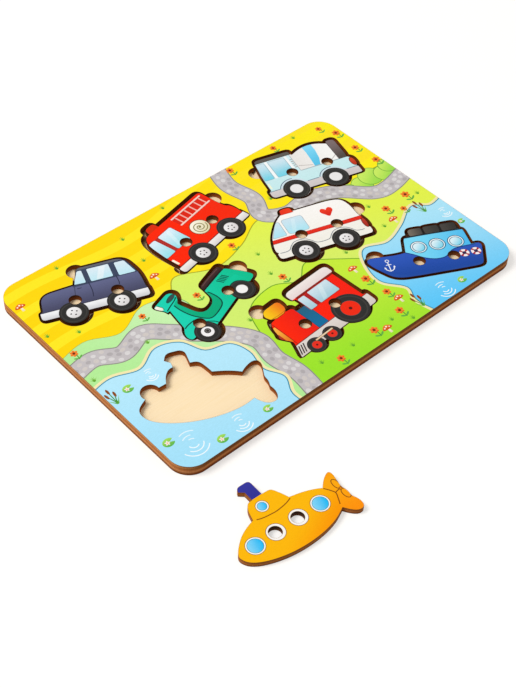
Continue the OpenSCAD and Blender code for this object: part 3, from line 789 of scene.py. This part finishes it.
def locomotive_print():
    """A red steam locomotive with a brass funnel and a blue band."""
    art = Print("locomotive", (75, 53.5), (-32.78, -80.87), 4)
    art.across(UNDER, OVER, "#FF2606", "#F82210", heading=0, span=(10, 75))
    art.box(0.10, 0.37, 0.285, 0.76, "#EC2014", "#FF2808", heading=170)
    art.area(((-0.1, 0.37), (0.095, 0.36), (0.095, 0.68), (-0.1, 0.68)), "#E87818", "#F8B848")
    art.area(((-0.1, 0.42), (0.055, 0.44), (0.055, 0.56), (-0.1, 0.58)), "#C02818", "#A83C30")
    art.line(((0.097, 0.30), (0.10, 0.52), (0.10, 0.74)), 0.6, "#A02014")
    art.box(0.372, 0.498, 0.285, 0.80, "#1C3C58")
    art.box(0.378, 0.492, 0.287, 0.80, "#146C9C", "#28607A", span=(18, 40))
    art.area(((0.08, 1.1), (0.107, 0.90), (0.13, 0.80), (0.19, 0.762), (0.28, 0.762), (0.335, 0.80),
              (0.357, 0.90), (0.38, 1.1)), "#7A3A10")
    art.area(((0.09, 1.1), (0.115, 0.90), (0.137, 0.807), (0.192, 0.771), (0.278, 0.771),
              (0.33, 0.807), (0.349, 0.90), (0.37, 1.1)), "#FCD018", "#F0701C", heading=0)
    art.line(((0.133, 0.80), (0.24, 0.79), (0.337, 0.80)), 0.5, "#C87018")
    art.box(0.42, OVER, 0.853, OVER, "#E8D8D6", "#F2E8E4", span=(45, 54))
    art.box(0.49, OVER, 0.82, 0.856, "#8E1E14")
    art.box(0.555, 0.63, 0.573, 0.815, "#B02428")
    for shares in (oblong(0.486, 0.567, 0.573, 0.813), oblong(0.614, 0.862, 0.573, 0.82)):
        window(art, shares, "#A6CEDC", "#D0E4EE", "#A82014", soft=0.9, edge=0.55)
    art.area(((0.66, 0.59), (0.71, 0.59), (0.79, 0.80), (0.74, 0.80)), "#BCDCE6", "#D8EAF0")
    art.across(UNDER, 0.295, "#7A2A20")
    art.across(UNDER, 0.283, "#D6CAC2", "#E0D8D2", span=(4, 15))
    for low, high in (((0.033, 0.132), (0.081, 0.259)), ((0.060, 0.13), (0.108, 0.259)),
                      ((0.087, 0.13), (0.135, 0.259))):
        art.line((low, high), 0.9, "#342A28", smooth=False)
    for u in (0.21, 0.405):
        wheel(art, (u, 0.12), 6.75, 3.3, "#E83020")
        art.dot((u, 0.12), 0.8, "#5A1410")
    art.box(0.235, 0.46, 0.163, 0.197, "#6E4E34", soft=0.8)
    art.box(0.243, 0.452, 0.170, 0.190, "#E4C8A0", "#F2DCBC", soft=0.5)
    wheel(art, (0.75, 0.252), 13.5, 6.8, "#F02C14")
    art.dot((0.75, 0.252), 1.3, "#5A1410")
    return art


def ship_print():
    """A blue ship with a pale cabin, three portholes, an anchor and two lifebuoys."""
    art = Print("ship", (85, 47), (52.06, -57.72), -26.5)
    art.across(UNDER, OVER, "#1E48A0", "#3058BC", span=(0, 25))
    art.area(((-0.1, -0.2), (1.1, -0.2), (1.1, 0.10), (0.9, 0.05), (0.6, 0.03), (0.3, 0.04),
              (0.1, 0.16)), "#20408C", "#2450A8")
    deck = curve(art.mm((
        (0.30, 0.56), (0.353, 0.506), (0.412, 0.438), (0.479, 0.347), (0.546, 0.293),
        (0.605, 0.278), (0.664, 0.30), (0.723, 0.392), (0.79, 0.438), (0.95, 0.455))))
    above = art.mm(((1.1, 1.1), (0.2, 1.1)))
    art.paint([np.concatenate([deck, above])], "#48B8F0", "#7CDCFA", heading=160, span=(-75, -20))
    art.paint(band(deck, 0.8), "#16387C")
    art.box(0.36, 0.96, 0.825, 1.3, "#1C1816")
    art.line(((0.36, 0.815), (0.62, 0.82), (0.91, 0.812)), 1.0, "#1E2A34")
    for left, right, low, high in ((0.45, 0.568, "#484440", "#766E62"),
                                   (0.588, 0.718, "#363432", "#48443E"),
                                   (0.738, 0.868, "#34322E", "#484440")):
        art.box(left, right, 0.835, 0.985, low, high, soft=1.6, heading=180)
    for u, v in ((0.479, 0.579), (0.64, 0.579), (0.8025, 0.575)):
        art.dot((u, v), 6.1, "#255470")
        art.dot((u, v), 5.5, "#DCF0F8", "#F8FCFE", heading=120)
        art.dot((u, v), 4.65, "#2E6A86")
        art.dot((u, v), 4.1, "#84D8F0", "#E4F6FC", heading=140)
    white = "#F4F6FA"
    art.hoop((0.169, 0.402), 1.5, 0.95, white, points=20)
    art.line(((0.169, 0.38), (0.167, 0.20)), 0.7, white, smooth=False)
    art.line(((0.146, 0.322), (0.192, 0.322)), 0.65, white, smooth=False)
    art.line(((0.129, 0.262), (0.138, 0.222), (0.167, 0.19), (0.197, 0.222), (0.208, 0.27)), 0.7,
             white)
    for tip in (((0.121, 0.250), (0.129, 0.288), (0.141, 0.250)),
                ((0.197, 0.258), (0.210, 0.296), (0.218, 0.256))):
        art.area(tip, white)
    for u in (0.821, 0.923):
        art.dot((u, 0.305), 3.8, "#52283C")
        art.dot((u, 0.305), 3.6, "#FCF0EE")
        for start in (29, 119, 209, 299):
            art.hoop((u, 0.305), 3.6, 1.5, "#B02434", start=start, end=start + 32, points=5)
        art.dot((u, 0.305), 1.5, "#34244C")
    return art


def submarine_print():
    """An orange submarine with a blue periscope, round windows and a screw."""
    art = Print("submarine", (82, 57), (-163.15, -180.20), -2.6)
    art.across(UNDER, OVER, "#FC9400", "#FDB808", heading=118, span=(-30, -4))
    art.across(0.785, OVER, "#343494", "#3C3CA2")
    thin = "#8A4E10"
    tail = curve(art.mm(((0.845, 0.46), (0.8755, 0.386), (0.8955, 0.323), (0.88, 0.261),
                         (0.845, 0.16))))
    behind = art.mm(((0.85, -0.2), (1.2, -0.2), (1.2, 0.9), (0.83, 0.9)))
    art.paint([np.concatenate([tail, behind])], "#FF9208", "#FDA80C", span=(0, 24))
    art.area(((0.90, 0.64), (0.93, 0.50), (0.965, 0.46), (1.1, 0.50), (1.1, 0.70)), "#FDA80C",
             "#FF8C08", smooth=True)
    art.line(((0.294, 0.561), (0.34, 0.54), (0.40, 0.527), (0.462, 0.521), (0.549, 0.536),
              (0.605, 0.561)), 0.7, thin)
    art.line(((0.849, 0.442), (0.8755, 0.386), (0.8955, 0.323), (0.88, 0.261), (0.8537, 0.185)),
             0.7, thin)
    art.line(((0.897, 0.326), (0.922, 0.334), (0.95, 0.336)), 0.7, thin, smooth=False)
    for u, v, wide, tall in ((0.949, 0.408, 2.0, 3.9), (0.955, 0.257, 2.1, 3.9)):
        a = np.arange(24) * np.pi / 12
        loop = np.stack([wide * np.cos(a), tall * np.sin(a)], 1)
        art.paint(band(loop + art.mm((u, v)), 0.6, closed=True), thin)
    art.dot((0.951, 0.336), 1.0, "#E88810")
    art.hoop((0.951, 0.336), 1.2, 0.7, thin, points=14)
    for u in (0.336, 0.543):
        art.dot((u, 0.324), 6.2, "#94602A")
        art.dot((u, 0.324), 5.8, "#FAF6F0")
    for centre, outer, inner in (((0.148, 0.321), 5.9, 4.8), ((0.745, 0.317), 5.9, 4.8),
                                 ((0.40, 0.659), 3.9, 2.8)):
        art.dot(centre, outer + 0.4, "#94602A")
        art.dot(centre, outer, "#FAF8F2")
        art.dot(centre, inner + 0.3, "#3E7088")
        art.dot(centre, inner, "#82D4F7", "#1CBAF6", heading=-15)
    return art


# ---------------------------------------------------------------- the tray's own print


def countryside_print():
    """A plain countryside: a yellow field, lime and pale green meadows, two ponds, cobbled
    paths, bushes and small plants, all in millimetres from the tray's middle."""
    art = Print("frame_board", (1, 1))
    art.box(-160, 160, -110, 110, "#FFD60A", "#FFF01A", heading=-35, span=(-150, 120))
    for rise in (40, 58, 76, 94):
        art.line([(x, rise + 6 * math.sin(x / 30) + x / 14) for x in range(-160, 170, 15)], 8.0,
                 "#FFE722")

    meadow = curve(((-160, 20), (-132, 26), (-108, 17), (-84, 27), (-62, 24), (-48, 35), (-20, 24),
                    (8, 30), (34, 42), (60, 31), (88, 35), (112, 24), (136, 30), (160, 24)))
    art.paint([np.concatenate([meadow, ((170, -112), (-170, -112))])], "#D4F070", "#E6F44C",
              heading=60, span=(-30, 70))
    art.paint(band(meadow, 0.8), "#A8A828")
    above_dale = meadow[:29]   # its first four spans, which end where the dale's edge begins
    dale = curve(((-62, 24), (-57, 8), (-66, -8), (-52, -24), (-45, -44), (-44, -70), (-42, -112)))
    art.paint([np.concatenate([dale, ((-170, -112), (-170, 20)), above_dale])],
              "#B4EC98", "#CFF3B8", heading=40, span=(-110, -20))
    art.paint(band(dale, 0.8), "#7CB860")
    hill = curve(((-42, -112), (-42, -70), (-38, -40), (-28, -20), (-4, -14), (14, -22), (30, -12),
                  (52, -26), (66, -40), (76, -70), (84, -112)))
    art.paint([hill], "#9CE42C", "#C8EE3C", heading=70, span=(-100, -10))
    art.paint(band(hill, 0.8), "#74A82C")
    for x, y, r in ((118, 22, 8), (129, 25, 9), (140, 21, 8), (148, 26, 7), (106, 24, 6)):
        art.dot((x, y), r + 0.6, "#6FA83C")
        art.dot((x, y), r, "#9CDC4C", "#CDEE64", heading=120)

    for path in (((-158, 6), (-136, 10), (-118, 2), (-98, 8), (-84, -2), (-72, -14), (-54, -30),
                  (-44, -46), (-46, -64), (-43, -84), (-46, -108)),
                 ((48, 108), (42, 84), (46, 62), (40, 44), (56, 34), (78, 36), (98, 28), (118, 10),
                  (134, 8), (158, 14))):
        cobbles(art, path, 13)

    pond(art, ((-160, -14), (-138, -10), (-118, -16), (-100, -8), (-84, -14), (-76, -30),
               (-60, -36), (-55, -50), (-58, -66), (-52, -80), (-58, -94),
               (-56, -112)), ((-160, -112),),
         "#A2E0FA", "#B8E9FC", ((-131, -84, 10), (-98, -91, 7), (-116, -24, 5)))
    pond(art, ((160, -22), (140, -26), (128, -18), (108, -28), (88, -34), (70, -28), (60, -40),
               (56, -58), (66, -74), (62, -88), (68, -112)), ((160, -112),),
         "#58C8FC", "#B0E8FC", ((84, -92, 7), (142, -38, 5)))
    for x, y, r in ((-142, -74, 4.2), (-115, -93, 4.0), (-134, -24, 4), (-78, -93, 3.6),
                    (100, -93, 3.6), (144, -52, 3)):
        lily(art, x, y, r)
    for x, y in ((132, -29), (62, -94), (-146, -30)):
        reeds(art, x, y)
    for x, y, r in ((50, -50, 3.4), (52, -68, 3.0), (46, -86, 3.2), (134, -6, 3.4), (112, -8, 3.2),
                    (146, 36, 3.2), (144, 56, 3.0), (145, 78, 3.2), (8, -12, 3.0), (2, 34, 2.8),
                    (-48, 12, 2.8), (-88, 20, 2.6), (-142, 22, 2.8), (20, -88, 3.2),
                    (-14, -92, 3.0), (122, -16, 2.6), (54, 96, 3.0), (96, 95, 2.6),
                    (138, 90, 2.6)):
        flower(art, x, y, r)
    for x, y in ((-128, 34), (-146, 44), (-54, 60), (-52, 86), (-104, 92), (36, 20), (10, 14),
                 (4, -6), (104, 0), (142, -12), (36, -90), (0, -90), (-26, -88), (58, -24),
                 (-36, -30), (-146, -6), (130, 34), (56, 52), (-10, 94), (116, 93), (14, 46),
                 (-100, -2), (98, -22), (48, -98)):
        tuft(art, x, y)
    for x, y in ((-58, 44), (-144, 78), (54, -78), (108, -20), (28, -93), (50, -38)):
        toadstool(art, x, y)
    return art


def cobbles(art, path, width):
    """A cobbled path: a grey band with a darker edge, and on it, every 5.2 mm, a row of two
    or three stones of uneven size, side by side."""
    run = curve(path, steps=10)
    art.paint(band(run, width + 1.6), "#8E8C84")
    art.paint(band(run, width), "#C4BEC0")
    steps = np.linalg.norm(np.diff(run, axis=0), axis=1)
    along = np.concatenate([[0], np.cumsum(steps)])
    rng = np.random.default_rng(len(path))
    for row, s in enumerate(np.arange(3, along[-1], 5.2)):
        x, y = np.interp(s, along, run[:, 0]), np.interp(s, along, run[:, 1])
        dx, dy = np.interp(s + 1, along, run[:, 0]) - x, np.interp(s + 1, along, run[:, 1]) - y
        way = math.degrees(math.atan2(dy, dx))
        for offset in (-4.2, 0, 4.2) if row % 2 else (-2.2, 2.2):
            nudge = rng.uniform(-0.4, 0.4, 2)
            at = turned(way) @ (nudge[0], offset + nudge[1]) + (x, y)
            grey = ("#DAD6D6", "#B2ACAE", "#D0C8C4")[rng.integers(3)]
            art.paint(disc(at, rng.uniform(1.7, 2.2), rng.uniform(1.4, 1.8), way, points=12), grey)


def pond(art, shore, far, low, high, ripples):
    """A pond with a sandy shore, a dark waterline, and ripples as pairs of short arcs."""
    edge = curve(shore)
    art.paint(band(edge, 5.0), "#F4E8B0")
    art.paint([np.concatenate([edge, far])], low, high, heading=70)
    art.paint(band(edge, 0.8), "#3C90AC")
    for x, y, r in ripples:
        for size, start in ((r, 200), (r * 0.66, 215), (r * 0.36, 190)):
            art.hoop((x, y), size + 0.35, size - 0.35, "#F2FBFF", start=start, end=start + 120,
                     points=14)
            art.hoop((x, y), size + 0.35, size - 0.35, "#E4F6FE", start=start - 150,
                     end=start - 90, points=10)


def lily(art, x, y, r):
    """A lily leaf with its notch, and a small pale flower on it."""
    a = np.radians(np.linspace(25, 335, 26))
    leaf = np.concatenate([np.stack([np.cos(a), 0.8 * np.sin(a)], 1) * r, [(r * 0.2, 0)]]) + (x, y)
    art.paint([leaf], "#5CB44C", "#A4DC5C")
    for turn in range(0, 360, 72):
        at = turned(turn) @ (r * 0.24, 0) + (x - r * 0.2, y)
        art.paint(disc(at, r * 0.22, r * 0.12, turn, points=10), "#FCE4EC")
    art.dot((x - r * 0.2, y), r * 0.12, "#F8C030")


def reeds(art, x, y):
    """Three reeds with brown heads and two leaves."""
    for lean, tall in ((-2.4, 9), (0.4, 12), (2.8, 8)):
        art.paint(band(curve(((x, y), (x + lean * 0.4, y + tall * 0.5), (x + lean, y + tall))),
                       0.7), "#4C9438")
        art.dot((x + lean, y + tall), 0.9, "#8A4A1C", tall=2.4, turn=-lean * 3)
    for lean in (-4.5, 4.5):
        art.area(((x - 0.7, y), (x + 0.7, y), (x + lean, y + 6)), "#5CA840", "#84CC54")


def flower(art, x, y, r):
    """A flower with six round petals round a brown heart, on a stalk with two leaves."""
    art.paint(band(((x, y), (x + 0.6, y - r), (x + 0.2, y - 2.2 * r)), 0.7), "#4C9438")
    for side in (-1, 1):
        art.dot((x + side * r * 0.6 + 0.3, y - 1.7 * r), r * 0.62, "#64B048", tall=r * 0.22,
                turn=side * 32)
    for turn in range(0, 360, 60):
        at = turned(turn + 12) @ (r * 0.62, 0) + (x, y)
        art.paint(disc(at, r * 0.42, r * 0.34, turn + 12, points=12), "#E8601C", "#FA9438")
    art.dot((x, y), r * 0.34, "#7A2C14")


def tuft(art, x, y):
    """Five blades of grass from one root."""
    for lean, tall in ((-2.6, 3.0), (-1.3, 4.4), (0.1, 5.2), (1.4, 4.2), (2.7, 2.8)):
        art.area(((x - 0.5, y), (x + 0.5, y), (x + lean, y + tall)), "#5CA030", "#8CC83C")


def toadstool(art, x, y):
    """An orange cap with pale spots on a cream stalk."""
    art.area(((x - 1.0, y - 4), (x + 1.0, y - 4), (x + 0.7, y + 0.5), (x - 0.7, y + 0.5)),
             "#E8D8B0", "#FFF6DC")
    cap = curve(((-3.8, 0), (-2.9, 2.2), (0, 3.6), (2.9, 2.2), (3.8, 0), (0, -0.7)), closed=True)
    art.paint([cap + (x, y)], "#D04818", "#F08030")
    for dx, dy, r in ((-1.8, 1.2, 0.6), (0.2, 2.1, 0.7), (2.0, 1.0, 0.5)):
        art.dot((x + dx, y + dy), r, "#FFF2D8")


for draw in (car_print, fire_engine_print, mixer_truck_print, ambulance_print, scooter_print,
             locomotive_print, ship_print, submarine_print):
    sheet = draw()
    print_film(sheet, sheet.node + "_piece")
print_film(countryside_print(), "tray")
# Painted shade on the floor of the narrow gaps round the seated pieces.
painted_gap_shade()

# ---------------------------------------------------------------- camera, light and floor

# The camera that the photograph's tray edges give: its place, its turn round +Z, its height
# angle and its small roll.
CAMERA_AT = Vector((-0.45577, -0.48395, 0.64595))
CAMERA_ROUND, CAMERA_UP, CAMERA_ROLL = (math.radians(d) for d in (-43.2415, 46.8829, 2.1156))
LENS, FILM = 70.63, 36.0
SHIFT_X, SHIFT_Y = -0.00094, 0.00109   # of the picture's height
# A large soft light high up on the camera's left: its place, side and watts.
WINDOW_AT, WINDOW_SIZE, WINDOW_WATTS = Vector((-2.0, 1.3, 3.1)), 1.8, 116.0
FILL = 0.46      # the room's light from all round, where 1 is white
# What the floor gives off to the camera: near the puzzle so much that shadows on it stay faint,
# further off, in metres from its middle, so much that it is as white as the backdrop.
NEAR_GLOW, FAR_GLOW, NEAR, FAR = 0.55, 1.0, 0.45, 1.1
FLOOR_SHADE, FLOOR_SEEN = "#94918E", "#BEBBB7"   # as the object and as the camera see it
FLOOR_HALF, FLOOR_DROP = 3.0, -0.1 * MM


def sees_backdrop(tree):
    """1 for a ray that comes from the camera, or off or through something that it looks at."""
    rays = add(tree, "LightPath").outputs
    seen = add(tree, "Math", {0: rays["Is Camera Ray"], 1: rays["Is Glossy Ray"]},
               operation="MAXIMUM")
    return add(tree, "Math", {0: seen, 1: rays["Is Transmission Ray"]}, operation="MAXIMUM")


back = Vector((math.sin(CAMERA_ROUND) * math.cos(CAMERA_UP),
               -math.cos(CAMERA_ROUND) * math.cos(CAMERA_UP), math.sin(CAMERA_UP)))
level = Vector((0, 0, 1)).cross(back).normalized()
rise = back.cross(level)
right = level * math.cos(CAMERA_ROLL) + rise * math.sin(CAMERA_ROLL)
up = rise * math.cos(CAMERA_ROLL) - level * math.sin(CAMERA_ROLL)
view = bpy.data.cameras.new("camera")
view.lens, view.sensor_width = LENS, FILM
view.shift_x, view.shift_y = SHIFT_X, SHIFT_Y
turn = Matrix((right, up, back)).transposed().to_4x4()
bpy.context.scene.camera = placed("camera", view, Matrix.Translation(CAMERA_AT) @ turn)

lamp = bpy.data.lights.new("window_light", "AREA")
lamp.size, lamp.energy = WINDOW_SIZE, WINDOW_WATTS
turn = WINDOW_AT.to_track_quat("Z", "Y").to_matrix().to_4x4()
placed("window_light", lamp, Matrix.Translation(WINDOW_AT) @ turn)

world = bpy.data.worlds.new("studio")
bpy.context.scene.world = world
world.use_nodes = True
sky = world.node_tree
sky.nodes.clear()
room = add(sky, "Background", Color=(1, 1, 1, 1), Strength=FILL)
backdrop = add(sky, "Background", Color=(1, 1, 1, 1), Strength=1.0)
mix = add(sky, "MixShader", {0: sees_backdrop(sky), 1: room, 2: backdrop})
add(sky, "OutputWorld", {"Surface": mix})

# A matt white paper sweep, so evenly lit that it shows the object's shadow alone.
paper, tree = material("white_paper_sweep")
seen = sees_backdrop(tree)
shade = add(tree, "Mix", {0: seen, 6: FLOOR_SHADE, 7: FLOOR_SEEN}, data_type="RGBA")
matt = add(tree, "BsdfDiffuse", {"Color": shade})
away = add(tree, "VectorMath", {0: add(tree, "TexCoord").outputs["Object"]}, operation="LENGTH")
lit = add(tree, "MapRange", {"Value": away}, From_Min=NEAR, From_Max=FAR, To_Min=NEAR_GLOW,
          To_Max=FAR_GLOW)
strength = add(tree, "Math", {0: lit, 1: seen}, operation="MULTIPLY")
glow = add(tree, "Emission", {"Strength": strength, "Color": "#FFFEFC"})
both = add(tree, "AddShader", {0: matt, 1: glow})
add(tree, "OutputMaterial", {"Surface": both})

square = np.array(((-1, -1, 0), (1, -1, 0), (1, 1, 0), (-1, 1, 0))) * FLOOR_HALF
sheet = bpy.data.meshes.new("floor")
sheet.from_pydata(square + (0, 0, FLOOR_DROP), [], [(0, 1, 2, 3)])
sheet.materials.append(paper)
placed("floor", sheet)

bpy.context.scene.view_settings.view_transform = "Standard"
